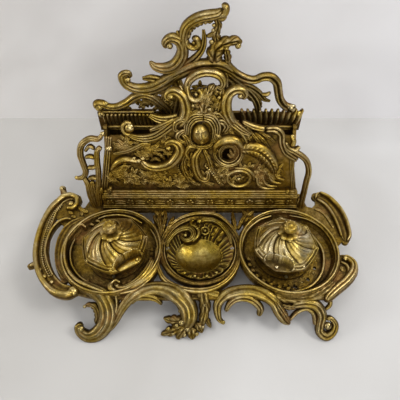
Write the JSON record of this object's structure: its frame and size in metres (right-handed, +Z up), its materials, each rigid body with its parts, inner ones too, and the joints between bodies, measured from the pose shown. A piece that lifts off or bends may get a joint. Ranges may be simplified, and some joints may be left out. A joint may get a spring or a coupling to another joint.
{
  "type": "desk inkstand",
  "caption": "Ornate cast brass desk inkstand with covered glass wells, a shell dish and an openwork letter rack.",
  "frame": {"origin": "on the table, under the middle of the whole stand seen from above", "axes": "+X to the right seen from the front, +Y to the back where the letter rack stands, +Z up"},
  "size_m": [0.2902, 0.1871, 0.2007],
  "materials": {
    "aged_brass": "cast, worn bright on the ridges, brown in the hollows",
    "dark_brass": "cast, dark brown patina",
    "pale_brass": "cast, pale worn gold",
    "liner_glass": "clear pressed glass",
    "steel": "dull"
  },
  "bodies": {
    "stand": {"base_tray": "aged_brass", "left_side_scroll": "aged_brass", "right_side_scroll": "aged_brass", "left_front_leg": "aged_brass", "left_apron_arch": "aged_brass", "centre_front_foot": "aged_brass", "right_apron_arch": "aged_brass", "right_front_leg": "aged_brass", "left_rear_leg": "dark_brass", "right_rear_leg": "dark_brass", "left_cup": "dark_brass", "right_cup": "dark_brass", "cup_screws": "steel", "shell_dish": "aged_brass", "dish_screws": "steel", "front_panel": "dark_brass", "rack_beam": "aged_brass", "front_relief": "aged_brass", "front_head": "aged_brass", "front_crest": "aged_brass", "left_bracket": "aged_brass", "right_bracket": "aged_brass", "left_end_plate": "dark_brass", "right_end_plate": "dark_brass", "rear_panel": "dark_brass", "rear_crest": "aged_brass", "rack_screws": "steel"},
    "left_glass": {"left_liner": "liner_glass"},
    "right_glass": {"right_liner": "liner_glass"},
    "left_cover": {"left_lid": "pale_brass", "left_finial": "pale_brass", "left_finial_nut": "steel"},
    "right_cover": {"right_lid": "pale_brass", "right_finial": "pale_brass", "right_finial_nut": "steel"}
  },
  "joints": [
    {"name": "left_liner_lift", "type": "slide", "parent": "stand", "child": "left_glass", "axis": [0, 0, 1], "range_m": [0, 0.045]},
    {"name": "right_liner_lift", "type": "slide", "parent": "stand", "child": "right_glass", "axis": [0, 0, 1], "range_m": [0, 0.045]},
    {"name": "left_lid_lift", "type": "slide", "parent": "left_glass", "child": "left_cover", "axis": [0, 0, 1], "range_m": [0, 0.04]},
    {"name": "right_lid_lift", "type": "slide", "parent": "right_glass", "child": "right_cover", "axis": [0, 0, 1], "range_m": [0, 0.04]}
  ]
}
